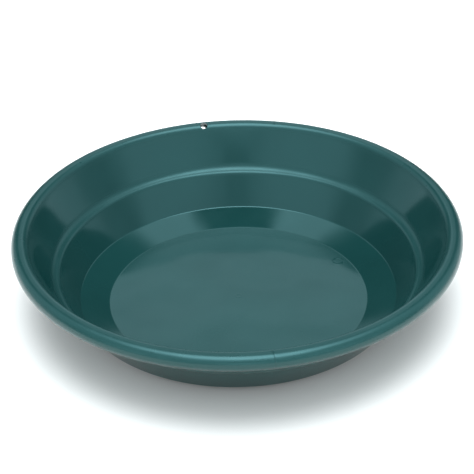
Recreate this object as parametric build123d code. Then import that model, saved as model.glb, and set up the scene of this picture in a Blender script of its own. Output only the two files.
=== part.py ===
from build123d import *
from math import atan2, cos, degrees, radians, sin, tan
import os

os.makedirs("parts", exist_ok=True)

# Driving dimensions, in mm. Radii are measured from the pan's axis to the inside face.
rim_radius = 177.8
pan_height = 68.7
wall = 2.2
floor_radius = 103.5
heel_radius = 126.8
heel_height = 8.8
ledge_inner_radius = 142.2
ledge_inner_height = 34.4
ledge_outer_radius = 146.6
ledge_outer_height = 35.8

# Roundings of the inside line at those four corners.
floor_rounding = 6.0
heel_rounding = 1.5
ledge_inner_rounding = 3.5
ledge_outer_rounding = 6.8

# The upper wall is slightly dished: it leaves the ledge at this slope and steepens to the rim.
upper_start = 57.6

# The rim is the wall's edge turned over: a shoulder, a narrow crown and a roll back down.
shoulder_rounding = 5.4
roll_rounding = 6.5
crown_width = 2.0
curl_end = -100.0

# The hang hole is drilled through both sides of the roll, at the back.
hole_radius = 3.25
hole_azimuth = 99.0
hole_slope = 50.0
hole_rise = 2.9
hang_sector = 18.0
drill_length = 40.0


def towards(heading):
    """Unit vector in the section plane at an angle in degrees."""
    return Vector(cos(radians(heading)), sin(radians(heading)))


def heading_of(start, end):
    """Angle in degrees of the line from start to end."""
    return degrees(atan2(end.Y - start.Y, end.X - start.X))


def run(start, end):
    """A straight stretch of wall: its inside edge and its outside edge."""
    shift = wall * towards(heading_of(start, end) - 90)
    return Line(start, end), Line(start + shift, end + shift)


def bend(centre, radius, first, last):
    """A curved stretch of wall between two angles, with its radius on the inside face."""
    other = radius + wall if last > first else radius - wall
    angles = (first, (first + last) / 2, last)
    return tuple(ThreePointArc(*[centre + size * towards(a) for a in angles]) for size in (radius, other))


def corner(before, point, after, radius):
    """The bend that rounds one corner of the inside line."""
    first, last = heading_of(before, point), heading_of(point, after)
    side = 90 if last > first else -90
    start = point - radius * tan(radians(abs(last - first) / 2)) * towards(first)
    return bend(start + radius * towards(first + side), radius, first - side, last - side)


def section(stretches):
    """The closed outline of stretches that follow one another."""
    inside = [stretch[0] for stretch in stretches]
    outside = [stretch[1] for stretch in stretches]
    caps = [Line(inside[0] @ 0, outside[0] @ 0), Line(inside[-1] @ 1, outside[-1] @ 1)]
    return Plane.XZ * make_face(inside + outside + caps)


def turned(face, sector=360.0, middle=0.0):
    """A section revolved about the pan's axis over a sector centred on an azimuth."""
    return Rot(Z=middle - sector / 2) * revolve(face, Axis.Z, sector)


# Corners of the inside line, from the axis out to the rim.
centre_point = Vector(0, wall)
floor_edge = Vector(floor_radius, wall)
heel = Vector(heel_radius, heel_height)
ledge_inner = Vector(ledge_inner_radius, ledge_inner_height)
ledge_outer = Vector(ledge_outer_radius, ledge_outer_height)
roll_centre = Vector(rim_radius - roll_rounding, pan_height - roll_rounding)
shoulder_centre = Vector(roll_centre.X - crown_width, pan_height - shoulder_rounding)

floor_bend = corner(centre_point, floor_edge, heel, floor_rounding)
heel_bend = corner(floor_edge, heel, ledge_inner, heel_rounding)
ledge_inner_bend = corner(heel, ledge_inner, ledge_outer, ledge_inner_rounding)
ledge_outer_bend = corner(ledge_inner, ledge_outer, ledge_outer + towards(upper_start), ledge_outer_rounding)

# The upper wall is one arc, from the end of the ledge's bend to the shoulder's circle.
upper_foot = ledge_outer_bend[0] @ 1
upper_foot = Vector(upper_foot.X, upper_foot.Y)
inward = towards(upper_start + 90)
from_shoulder = upper_foot - shoulder_centre
room = shoulder_rounding - from_shoulder.dot(inward)
upper_radius = (from_shoulder.length**2 - shoulder_rounding**2) / (2 * room)
upper_centre = upper_foot + upper_radius * inward
rim_heading = heading_of(upper_centre, shoulder_centre) + 90
print("upper wall radius", round(upper_radius, 1), "slope at the rim", round(rim_heading, 2))

floor_run = run(centre_point, floor_bend[0] @ 0)
heel_run = run(floor_bend[0] @ 1, heel_bend[0] @ 0)
lower_run = run(heel_bend[0] @ 1, ledge_inner_bend[0] @ 0)
ledge_run = run(ledge_inner_bend[0] @ 1, ledge_outer_bend[0] @ 0)
upper_bend = bend(upper_centre, upper_radius, upper_start - 90, rim_heading - 90)

shoulder = bend(shoulder_centre, shoulder_rounding, rim_heading + 90, 90.0)
crown = run(shoulder[0] @ 1, shoulder[0] @ 1 + Vector(crown_width, 0))
roll = bend(roll_centre, roll_rounding, 90.0, curl_end)
rim_section = section([shoulder, crown, roll])

# The drill goes in at the shoulder, sloping down and out through the roll.
drill_path = Plane(
    origin=(shoulder_centre.X, 0, shoulder_centre.Y + hole_rise),
    z_dir=(cos(radians(hole_slope)), 0, -sin(radians(hole_slope))),
)
drill = Rot(Z=hole_azimuth) * (drill_path * Cylinder(hole_radius, drill_length))

pieces = {
    "pan_floor": turned(section([floor_run])),
    "heel_ring": turned(section([floor_bend, heel_run, heel_bend])),
    "lower_wall": turned(section([lower_run])),
    "step_ledge": turned(section([ledge_inner_bend, ledge_run, ledge_outer_bend])),
    "upper_wall": turned(section([upper_bend])),
    "rolled_rim": turned(rim_section, 360 - hang_sector, hole_azimuth + 180),
    "hang_section": turned(rim_section, hang_sector, hole_azimuth) - drill,
}

for node, piece in pieces.items():
    piece.label = node
    export_step(piece, f"parts/{node}.step")
    box = piece.bounding_box()
    print(node, round(piece.volume), box.min, box.max)
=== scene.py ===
import bpy
import bmesh
from math import atan2, cos, pi, radians, sin, tan
from mathutils import Matrix, Vector


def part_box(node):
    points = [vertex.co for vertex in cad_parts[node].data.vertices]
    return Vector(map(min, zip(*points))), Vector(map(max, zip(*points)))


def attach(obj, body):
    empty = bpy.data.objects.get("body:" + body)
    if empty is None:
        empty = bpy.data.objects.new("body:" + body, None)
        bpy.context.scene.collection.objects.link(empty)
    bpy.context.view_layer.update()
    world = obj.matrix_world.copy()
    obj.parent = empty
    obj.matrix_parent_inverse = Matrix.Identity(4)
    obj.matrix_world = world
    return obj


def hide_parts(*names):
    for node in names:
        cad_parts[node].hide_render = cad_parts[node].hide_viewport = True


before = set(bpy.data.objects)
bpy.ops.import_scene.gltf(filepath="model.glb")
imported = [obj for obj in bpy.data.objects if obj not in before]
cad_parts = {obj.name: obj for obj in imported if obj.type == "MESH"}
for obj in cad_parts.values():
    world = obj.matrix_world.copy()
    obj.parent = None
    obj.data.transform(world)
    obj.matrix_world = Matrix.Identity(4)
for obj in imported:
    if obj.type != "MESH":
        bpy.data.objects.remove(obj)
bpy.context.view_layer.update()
rimLow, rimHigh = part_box("rolled_rim")
floorLow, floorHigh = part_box("pan_floor")
rimRadius = min(rimHigh.x - rimLow.x, rimHigh.y - rimLow.y) / 2
panHeight = rimHigh.z
wall = floorHigh.z - floorLow.z
print("frame loaded: rim radius", round(rimRadius, 4), "height", round(panHeight, 4))


# Camera, placed in rim radii from the middle of the base
camera = {
    "back": 6.7454,
    "up": 4.6304,
    "pitch": radians(32.527),
    "roll": -0.0254,
    "lens": 136.6,
    "sensor": 36,
    "clipStart": 0.01,
    "transform": "Standard",
}

cameraData = bpy.data.cameras.new("camera")
cameraData.lens = camera["lens"]
cameraData.sensor_width = camera["sensor"]
cameraData.clip_start = camera["clipStart"]
cameraObject = bpy.data.objects.new("camera", cameraData)
bpy.context.collection.objects.link(cameraObject)
cameraObject.matrix_world = (
    Matrix.Translation((0, -camera["back"] * rimRadius, camera["up"] * rimRadius))
    @ Matrix.Rotation(pi / 2 - camera["pitch"], 4, "X")
    @ Matrix.Rotation(camera["roll"], 4, "Z")
)
bpy.context.scene.camera = cameraObject
bpy.context.scene.view_settings.view_transform = camera["transform"]
print("camera set")


# Shader maths: a Value wraps one socket, and expressions on values add their nodes
class Value:
    def __init__(self, tree, socket):
        self.tree = tree
        self.socket = socket

    def node(self, kind, settings=None, inputs=None, output=0):
        made = self.tree.nodes.new(kind)
        for name, setting in (settings or {}).items():
            setattr(made, name, setting)
        for name, given in (inputs or {}).items():
            if isinstance(given, Value):
                self.tree.links.new(given.socket, made.inputs[name])
            else:
                made.inputs[name].default_value = given
        return Value(self.tree, made.outputs[output]) if made.outputs else None

    def math(self, operation, *others):
        given = dict(enumerate((self,) + others))
        return self.node("ShaderNodeMath", {"operation": operation}, given)

    def vector(self, operation, given, output):
        return self.node("ShaderNodeVectorMath", {"operation": operation}, given, output)

    def __add__(self, other):
        return self.math("ADD", other)

    def __sub__(self, other):
        return self.math("SUBTRACT", other)

    def __mul__(self, other):
        return self.math("MULTIPLY", other)

    def __rsub__(self, other):
        return self.node("ShaderNodeMath", {"operation": "SUBTRACT"}, {0: other, 1: self})

    __radd__ = __add__

    def smooth(self, low, high):
        # 0 below low, 1 above high, eased between them
        return self.node(
            "ShaderNodeMapRange",
            {"interpolation_type": "SMOOTHSTEP"},
            {"Value": self, "From Min": low, "From Max": high},
        )

    def mixed(self, first, second):
        # colour first where this value is 0, second where it is 1
        return self.node(
            "ShaderNodeMix",
            {"data_type": "RGBA"},
            {"Factor": self, 6: first, 7: second},
            output=2,
        )


def startTree(owner):
    owner.use_nodes = True
    owner.node_tree.nodes.clear()
    return Value(owner.node_tree, None)


# Line drawing: each stretch extends a wire from its last vertex, in the XZ plane
def startWire(point):
    bm = bmesh.new()
    return bm, bm.verts.new(point)


def drawRun(bm, last, end):
    made = bmesh.ops.extrude_vert_indiv(bm, verts=[last])["verts"][0]
    made.co = end
    return made


def drawBend(bm, last, centre, turn, steps):
    made = bmesh.ops.spin(bm, geom=[last], cent=centre, axis=(0, -1, 0), angle=turn, steps=steps)
    return made["geom_last"][0]


def bendOn(bm, last, bend, steps):
    return drawBend(bm, last, bend["centre"], bend["turn"], steps)


def headingOf(start, end):
    return atan2(end.z - start.z, end.x - start.x)


def towards(heading):
    return Vector((cos(heading), 0, sin(heading)))


def cornerBend(before, point, after, rounding):
    first, last = headingOf(before, point), headingOf(point, after)
    turn = last - first
    start = point - rounding * tan(abs(turn) / 2) * towards(first)
    side = pi / 2 if turn > 0 else -pi / 2
    return {"start": start, "centre": start + rounding * towards(first + side), "turn": turn}


def endOf(bend):
    turned = Matrix.Rotation(bend["turn"], 3, (0, -1, 0))
    return bend["centre"] + turned @ (bend["start"] - bend["centre"])


# The pan's inside line, from the axis out to the rim, in metres
pan = {
    "floorRadius": 0.1035,
    "heel": (0.1268, 0.0088),
    "ledgeInner": (0.1422, 0.0344),
    "ledgeOuter": (0.1466, 0.0358),
    "floorRounding": 0.006,
    "heelRounding": 0.0015,
    "ledgeInnerRounding": 0.0035,
    "ledgeOuterRounding": 0.0068,
    "shoulderRounding": 0.0054,
    "rollRounding": 0.0065,
    "crownWidth": 0.002,
    "upperStart": radians(57.6),
    "curlTurn": radians(-190),
    "around": 360,
    "rimAround": 400,
    "floorRings": (0.12, 0.35, 0.6, 0.85, 1.0),
    "perBend": 24,
    "perUpperWall": 16,
    "perShoulder": 32,
    "perRoll": 64,
    "mergeDistance": 1e-6,
    "sharpAngle": 0.5,
}


def sectionPoint(radius, height):
    return Vector((radius, 0, height))


centrePoint = sectionPoint(0, wall)
floorEdge = sectionPoint(pan["floorRadius"], wall)
heel = sectionPoint(*pan["heel"])
ledgeInner = sectionPoint(*pan["ledgeInner"])
ledgeOuter = sectionPoint(*pan["ledgeOuter"])
rollCentre = sectionPoint(rimRadius - pan["rollRounding"], panHeight - pan["rollRounding"])
shoulderRadius = pan["shoulderRounding"]
shoulderCentre = sectionPoint(rollCentre.x - pan["crownWidth"], panHeight - shoulderRadius)

floorBend = cornerBend(centrePoint, floorEdge, heel, pan["floorRounding"])
heelBend = cornerBend(floorEdge, heel, ledgeInner, pan["heelRounding"])
ledgeInnerBend = cornerBend(heel, ledgeInner, ledgeOuter, pan["ledgeInnerRounding"])
upperFoot = ledgeOuter + towards(pan["upperStart"])
ledgeOuterBend = cornerBend(ledgeInner, ledgeOuter, upperFoot, pan["ledgeOuterRounding"])

# The upper wall is one gentle arc, from the ledge's bend to the shoulder's circle
upperStart = endOf(ledgeOuterBend)
inward = towards(pan["upperStart"] + pi / 2)
fromShoulder = upperStart - shoulderCentre
gap = fromShoulder.length_squared - shoulderRadius**2
upperRadius = gap / (2 * (shoulderRadius - fromShoulder.dot(inward)))
upperCentre = upperStart + upperRadius * inward
rimHeading = headingOf(upperCentre, shoulderCentre) + pi / 2
rimStart = shoulderCentre + shoulderRadius * towards(rimHeading + pi / 2)
upperBend = {"start": upperStart, "centre": upperCentre, "turn": rimHeading - pan["upperStart"]}
print("upper wall radius", round(upperRadius, 4))


def pieceFrom(bm, name):
    for face in bm.faces:
        face.smooth = True
    for edge in bm.edges:
        edge.smooth = edge.calc_face_angle(0) < pan["sharpAngle"]
    mesh = bpy.data.meshes.new(name)
    bm.to_mesh(mesh)
    bm.free()
    made = bpy.data.objects.new(name, mesh)
    bpy.context.collection.objects.link(made)
    return made


def shellFrom(bm, name, steps, sector=2 * pi, middle=0.0):
    # Turns the wire into a surface about the axis and gives it the wall's thickness
    start = Matrix.Rotation(middle - sector / 2, 3, "Z")
    bmesh.ops.rotate(bm, verts=bm.verts, cent=(0, 0, 0), matrix=start)
    bmesh.ops.spin(
        bm,
        geom=bm.verts[:] + bm.edges[:],
        cent=(0, 0, 0),
        axis=(0, 0, 1),
        angle=sector,
        steps=steps,
        use_merge=sector == 2 * pi,
    )
    bmesh.ops.remove_doubles(bm, verts=bm.verts, dist=pan["mergeDistance"])
    bm.faces.ensure_lookup_table()
    innermost = min(bm.faces, key=lambda face: face.calc_center_median().xy.length)
    bmesh.ops.recalc_face_normals(bm, faces=bm.faces)
    innermost.normal_update()
    if innermost.normal.z < 0:
        bmesh.ops.reverse_faces(bm, faces=bm.faces)
    bmesh.ops.solidify(bm, geom=bm.faces[:], thickness=wall)
    return pieceFrom(bm, name)


def makePanFloor():
    bm, last = startWire(centrePoint)
    for share in pan["floorRings"]:
        last = drawRun(bm, last, centrePoint.lerp(floorBend["start"], share))
    return shellFrom(bm, "panFloor", pan["around"])


def makeHeelRing():
    bm, last = startWire(floorBend["start"])
    last = bendOn(bm, last, floorBend, pan["perBend"])
    last = drawRun(bm, last, heelBend["start"])
    bendOn(bm, last, heelBend, pan["perBend"])
    return shellFrom(bm, "heelRing", pan["around"])


def makeLowerWall():
    bm, last = startWire(endOf(heelBend))
    drawRun(bm, last, ledgeInnerBend["start"])
    return shellFrom(bm, "lowerWall", pan["around"])


def makeStepLedge():
    bm, last = startWire(ledgeInnerBend["start"])
    last = bendOn(bm, last, ledgeInnerBend, pan["perBend"])
    last = drawRun(bm, last, ledgeOuterBend["start"])
    bendOn(bm, last, ledgeOuterBend, pan["perBend"])
    return shellFrom(bm, "stepLedge", pan["around"])


def makeUpperWall():
    bm, last = startWire(upperStart)
    bendOn(bm, last, upperBend, pan["perUpperWall"])
    return shellFrom(bm, "upperWall", pan["around"])


# The hang hole and the short length of rim that holds it
hang = {
    "azimuth": radians(99),
    "sector": radians(18),
    "radius": 0.00325,
    "slope": radians(50),
    "rise": 0.0029,
    "drillLength": 0.04,
    "sides": 96,
    "around": 108,
    "crownSteps": 4,
}


def drawRim(crownSteps):
    bm, last = startWire(rimStart)
    last = drawBend(bm, last, shoulderCentre, -rimHeading, pan["perShoulder"])
    crownStart = last.co.copy()
    for step in range(crownSteps):
        share = (step + 1) / crownSteps
        last = drawRun(bm, last, crownStart + Vector((pan["crownWidth"] * share, 0, 0)))
    drawBend(bm, last, rollCentre, pan["curlTurn"], pan["perRoll"])
    return bm


def makeRolledRim():
    bm = drawRim(1)
    return shellFrom(bm, "rolledRim", pan["rimAround"], 2 * pi - hang["sector"], hang["azimuth"] + pi)


def makeHangSection():
    bm = drawRim(hang["crownSteps"])
    section = shellFrom(bm, "hangSection", hang["around"], hang["sector"], hang["azimuth"])
    drill = bmesh.new()
    bmesh.ops.create_cone(
        drill,
        cap_ends=True,
        segments=hang["sides"],
        radius1=hang["radius"],
        radius2=hang["radius"],
        depth=hang["drillLength"],
    )
    place = (
        Matrix.Rotation(hang["azimuth"], 4, "Z")
        @ Matrix.Translation(shoulderCentre + Vector((0, 0, hang["rise"])))
        @ Matrix.Rotation(pi / 2 + hang["slope"], 4, "Y")
    )
    bmesh.ops.transform(drill, matrix=place, verts=drill.verts)
    cutter = pieceFrom(drill, "drill")
    cut = section.modifiers.new("hole", "BOOLEAN")
    cut.operation = "DIFFERENCE"
    cut.object = cutter
    cut.solver = "EXACT"
    graph = bpy.context.evaluated_depsgraph_get()
    drilled = bmesh.new()
    drilled.from_mesh(bpy.data.meshes.new_from_object(section.evaluated_get(graph)))
    bmesh.ops.dissolve_degenerate(drilled, dist=pan["mergeDistance"], edges=drilled.edges)
    bpy.data.objects.remove(cutter)
    bpy.data.objects.remove(section)
    return pieceFrom(drilled, "hangSection")


shells = {
    "pan_floor": makePanFloor(),
    "heel_ring": makeHeelRing(),
    "lower_wall": makeLowerWall(),
    "step_ledge": makeStepLedge(),
    "upper_wall": makeUpperWall(),
    "rolled_rim": makeRolledRim(),
    "hang_section": makeHangSection(),
}
for node, shell in shells.items():
    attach(shell, "root")
    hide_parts(node)
    print(node, "made with", len(shell.data.polygons), "faces")


# The plastic: glossy moulded teal, with handling marks and the traces its mould left.
# A noise is (scale, detail, roughness), and a band is where a mark starts and is full.
plastic = {
    "deep": (0.0046, 0.0275, 0.0257, 1),
    "pale": (0.0062, 0.0330, 0.0308, 1),
    "speck": (0.16, 0.24, 0.235, 1),
    "knit": (0.002, 0.014, 0.013, 1),
    "tint": (0.62, 0.98, 1.0, 1),
    "polished": 0.075,
    "worn": 0.17,
    "rimWear": 0.22,
    "ledgeWear": 0.26,
    "mottleNoise": (9.0, 4.0, 0.6),
    "mottleBand": (0.3, 0.7),
    "mottleWear": 0.05,
    "waveNoise": (14.0, 1.0, 0.5),
    "waveRise": 0.002,
    "pebbleNoise": (900.0, 2.0, 0.5),
    "pebbleRise": 0.000002,
    "swirlNoise": (260.0, 3.0, 0.7),
    "swirlStretch": 0.012,
    "swirlRise": 0.000012,
    "scratchBand": (0.6, 0.78),
    "handledNoise": (31.0, 3.0, 0.65),
    "handledBand": (0.45, 0.72),
    "handledWear": 0.03,
    "rubbedNoise": (60.0, 2.0, 0.5),
    "rubbedRange": 0.5,
    "rubbedLeast": 0.6,
    "rimBand": (0.0615, 0.0665),
    "stepRiseBand": (0.031, 0.034),
    "stepFallBand": (0.0375, 0.041),
    "stepOuterBand": (0.151, 0.153),
    "speckScale": 26.0,
    "speckBand": (0.014, 0.028),
    "speckPick": (0.6, 0.62),
    "speckRise": 0.0002,
    "pinMark": (0.0833, 0.0472, 0.0022),
    "pinRadius": 0.0042,
    "pinWidth": 0.0009,
    "pinRise": 0.00022,
    "gateMark": (0.0, 0.0, 0.0022),
    "gateRadius": 0.0024,
    "gateWidth": 0.0011,
    "gateRise": 0.00012,
    "knitHeadings": (radians(-81.9), radians(78.0)),
    "knitWidth": 0.0011,
    "knitNoise": (150.0, 2.0, 0.5),
    "knitWander": 0.004,
    "knitBand": (0.1655, 0.169),
    "knitShade": 0.35,
    "knitDepth": 0.0002,
    "bumpStrength": 0.6,
}


def makePlastic():
    material = bpy.data.materials.new("glossyTealPlastic")
    tree = startTree(material)
    place = tree.node("ShaderNodeTexCoord", None, None, "Object")
    across, back, height = (tree.node("ShaderNodeSeparateXYZ", None, {0: place}, axis) for axis in "XYZ")
    flat = tree.node("ShaderNodeCombineXYZ", None, {"X": across, "Y": back})
    radius = tree.vector("LENGTH", {0: flat}, "Value")
    turned = back.math("ARCTAN2", across)

    def noise(where, scale, detail, roughness):
        given = {"Vector": where, "Scale": scale, "Detail": detail, "Roughness": roughness}
        return tree.node("ShaderNodeTexNoise", None, given, "Fac")

    def cells(output):
        given = {"Vector": place, "Scale": plastic["speckScale"]}
        return tree.node("ShaderNodeTexVoronoi", None, given, output)

    def ringAt(centre, size, width):
        away = tree.vector("DISTANCE", {0: place, 1: centre}, "Value")
        return 1 - (away - size).math("ABSOLUTE").smooth(0.0, width)

    mottle = noise(place, *plastic["mottleNoise"])
    wave = noise(place, *plastic["waveNoise"])
    pebble = noise(place, *plastic["pebbleNoise"])

    # Swirl marks run round the pan, so their noise is stretched along its circles
    turned = turned * plastic["swirlStretch"]
    swirlPlace = tree.node("ShaderNodeCombineXYZ", None, {"X": radius, "Y": turned, "Z": height})
    swirl = noise(swirlPlace, *plastic["swirlNoise"])
    handled = noise(place, *plastic["handledNoise"]).smooth(*plastic["handledBand"])
    scratches = swirl.smooth(*plastic["scratchBand"]) * handled

    # Pale grains that stuck to the moulding, in some of the cells
    picked = tree.node("ShaderNodeSeparateColor", None, {0: cells("Color")}, "Red")
    specks = 1 - cells("Distance").smooth(*plastic["speckBand"])
    specks = specks * picked.smooth(*plastic["speckPick"])

    # Where the plastic met itself in the rim
    knit = 0.0
    wander = (noise(place, *plastic["knitNoise"]) - 0.5) * plastic["knitWander"]
    for heading in plastic["knitHeadings"]:
        sideways = back * cos(heading) - across * sin(heading)
        outward = across * cos(heading) + back * sin(heading)
        line = 1 - (sideways + wander).math("ABSOLUTE").smooth(0.0, plastic["knitWidth"])
        knit = line * outward.smooth(*plastic["knitBand"]) + knit

    # Rings left by an ejector pin and by the gate
    pin = ringAt(plastic["pinMark"], plastic["pinRadius"], plastic["pinWidth"])
    gate = ringAt(plastic["gateMark"], plastic["gateRadius"], plastic["gateWidth"])

    # Rubbed places: the top of the rim, and the step's two bends
    rubbed = noise(place, *plastic["rubbedNoise"]) * plastic["rubbedRange"] + plastic["rubbedLeast"]
    rimWear = height.smooth(*plastic["rimBand"]) * plastic["rimWear"] * rubbed
    stepWear = height.smooth(*plastic["stepRiseBand"]) - height.smooth(*plastic["stepFallBand"])
    stepWear = stepWear * (1 - radius.smooth(*plastic["stepOuterBand"]))
    stepWear = stepWear * plastic["ledgeWear"] * rubbed

    colour = mottle.smooth(*plastic["mottleBand"]).mixed(plastic["deep"], plastic["pale"])
    colour = specks.mixed(colour, plastic["speck"])
    colour = (knit * plastic["knitShade"]).mixed(colour, plastic["knit"])
    roughness = (
        plastic["polished"]
        + mottle * plastic["mottleWear"]
        + handled * plastic["handledWear"]
        + scratches * (plastic["worn"] - plastic["polished"])
        + rimWear
        + stepWear
    )
    relief = (
        wave * plastic["waveRise"]
        + swirl * handled * plastic["swirlRise"]
        + pebble * plastic["pebbleRise"]
        - knit * plastic["knitDepth"]
        + pin * plastic["pinRise"]
        + gate * plastic["gateRise"]
        + specks * plastic["speckRise"]
    )
    bump = tree.node(
        "ShaderNodeBump",
        None,
        {"Height": relief, "Distance": 1.0, "Strength": plastic["bumpStrength"]},
    )
    shader = tree.node(
        "ShaderNodeBsdfPrincipled",
        None,
        {
            "Base Color": colour,
            "Roughness": roughness,
            "Specular Tint": plastic["tint"],
            "Normal": bump,
        },
    )
    tree.node("ShaderNodeOutputMaterial", None, {"Surface": shader})
    return material


panPlastic = makePlastic()
for shell in shells.values():
    shell.data.materials.append(panPlastic)
print("plastic made")


# The studio: a pale floor, a little below the pan, with painted glow away from it; near the pan it
# doesn't glow, which paints a darker shade around the pan
studio = {
    "floorSize": 40.0,
    "floorDrop": 0.0003,
    "floorColour": (0.95, 0.74, 0.70, 1),
    "floorRoughness": 0.9,
    "paintedFloorGlow": 0.5,
    "unlit": (0, 0, 0, 1),
    "lit": (1, 1, 1, 1),
    "paintedGlowFrom": (0.13, 0.34),
}


def makeFloor():
    bm = bmesh.new()
    bmesh.ops.create_grid(bm, x_segments=1, y_segments=1, size=studio["floorSize"])
    bmesh.ops.translate(bm, verts=bm.verts, vec=(0, 0, -studio["floorDrop"]))
    floor = pieceFrom(bm, "studioFloor")
    material = bpy.data.materials.new("paleFloor")
    tree = startTree(material)
    place = tree.node("ShaderNodeTexCoord", None, None, "Object")
    away = tree.vector("LENGTH", {0: place}, "Value")
    # Painted glow: full far from the pan and none near it, so a painted darker shade rings the pan
    glow = away.smooth(*studio["paintedGlowFrom"]).mixed(studio["unlit"], studio["lit"])
    shader = tree.node(
        "ShaderNodeBsdfPrincipled",
        None,
        {
            "Base Color": studio["floorColour"],
            "Roughness": studio["floorRoughness"],
            "Specular IOR Level": 0.0,
            "Emission Color": glow,
            "Emission Strength": studio["paintedFloorGlow"],
        },
    )
    tree.node("ShaderNodeOutputMaterial", None, {"Surface": shader})
    floor.data.materials.append(material)


makeFloor()


# Light by direction, in degrees. A patch is (way round from straight behind, elevation, inner
# radius, outer radius, strength). The bands of the light behind are (start, full).
light = {
    "colour": (0.72, 0.98, 1.05, 1),
    "tent": 1.08,
    "sideBoxes": (137, 24, 8, 34, 0.5),
    "sideGaps": (97, 15, 6, 20, -0.4),
    "cameraLow": (180, 16, 6, 17, 1.3),
    "cameraShade": (180, 37, 5, 10, 0.3),
    "frontSky": (180, 62, 6, 28, 1.6),
    "backSky": (15, 58, 4, 10, 0.9),
    "ceilingShade": (0, 64, 4, 7, 0.98),
    "overhead": (0, 90, 12, 31, 6.5),
    "backStep": 0.3,
    "stepSide": (8, 12),
    "stepBottom": (33.4, 33.8),
    "stepTop": (34.5, 37),
    "backGaps": -1.0,
    "gapNear": (7, 12),
    "gapFar": (26, 45),
    "gapTop": (50, 55),
}


def makeWorld():
    world = bpy.data.worlds.new("studio")
    bpy.context.scene.world = world
    tree = startTree(world)
    direction = tree.node("ShaderNodeTexCoord")
    across, ahead, upward = (
        tree.node("ShaderNodeSeparateXYZ", None, {0: direction}, axis) for axis in "XYZ"
    )
    around = across.math("ABSOLUTE").math("ARCTAN2", ahead)

    def patch(turn, elevation, inner, outer, strength):
        level = cos(radians(elevation))
        aim = (sin(radians(turn)) * level, cos(radians(turn)) * level, sin(radians(elevation)))
        nearness = tree.vector("DOT_PRODUCT", {0: direction, 1: aim}, "Value")
        return nearness.smooth(cos(radians(outer)), cos(radians(inner))) * strength

    def pair(turn, *rest):
        return patch(turn, *rest) + patch(-turn, *rest)

    def above(low, high):
        return upward.smooth(sin(radians(low)), sin(radians(high)))

    def beyond(low, high):
        return around.smooth(radians(low), radians(high))

    step = above(*light["stepBottom"]) - above(*light["stepTop"])
    gaps = beyond(*light["gapNear"]) - beyond(*light["gapFar"])
    glow = (
        light["tent"]
        + pair(*light["sideBoxes"])
        + pair(*light["sideGaps"])
        + patch(*light["cameraLow"])
        + (1 - beyond(*light["stepSide"])) * step * light["backStep"]
        + gaps * (1 - above(*light["gapTop"])) * light["backGaps"]
        + pair(*light["backSky"])
        + patch(*light["frontSky"])
        + patch(*light["overhead"])
    )
    glow = glow * (1 - patch(*light["cameraShade"]))
    glow = glow * (1 - patch(*light["ceilingShade"]))
    shader = tree.node("ShaderNodeBackground", None, {"Color": light["colour"], "Strength": glow})
    tree.node("ShaderNodeOutputWorld", None, {"Surface": shader})


makeWorld()
print("studio made")
